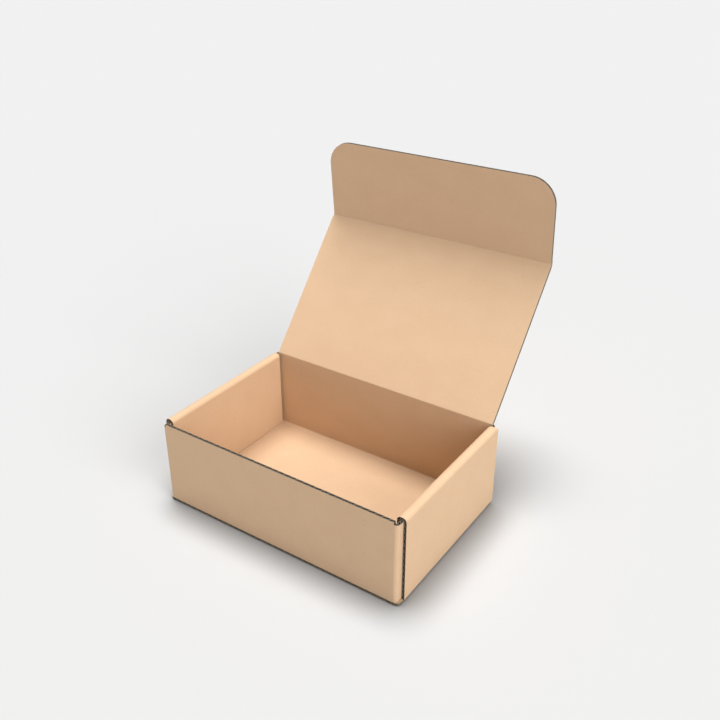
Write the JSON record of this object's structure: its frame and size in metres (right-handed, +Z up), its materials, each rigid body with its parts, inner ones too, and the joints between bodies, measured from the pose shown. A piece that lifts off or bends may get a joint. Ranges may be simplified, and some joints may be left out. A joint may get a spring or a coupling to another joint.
{
  "type": "corrugated mailer box",
  "caption": "Kraft corrugated mailer box with rolled side walls, standing open with its lid leaning back and its round-cornered tuck flap bent forward.",
  "frame": {"origin": "middle of the tray's footprint, on the underside that it rests on", "axes": "+Z up; +X along the front, to the right seen from the front; +Y from the front wall to the back wall, so the front faces -Y"},
  "size_m": [0.25, 0.26, 0.2785],
  "materials": {
    "tray_board": "matte",
    "lid_board": "matte",
    "flap_board": "matte"
  },
  "bodies": {
    "tray": {"tray": "tray_board"},
    "lid": {"lid": "lid_board"},
    "tuck_flap": {"tuck_flap": "flap_board"}
  },
  "joints": [
    {"name": "lid_crease", "type": "hinge", "parent": "tray", "child": "lid", "pos_m": [0, 0.0782, 0.0835], "axis": [1, 0, 0], "range_deg": [-50.1, 128]},
    {"name": "tuck_flap_crease", "type": "hinge", "parent": "lid", "child": "tuck_flap", "pos_m": [0, 0.17628, 0.2008], "axis": [1, 0, 0], "range_deg": [-45.1, 46.8]}
  ]
}
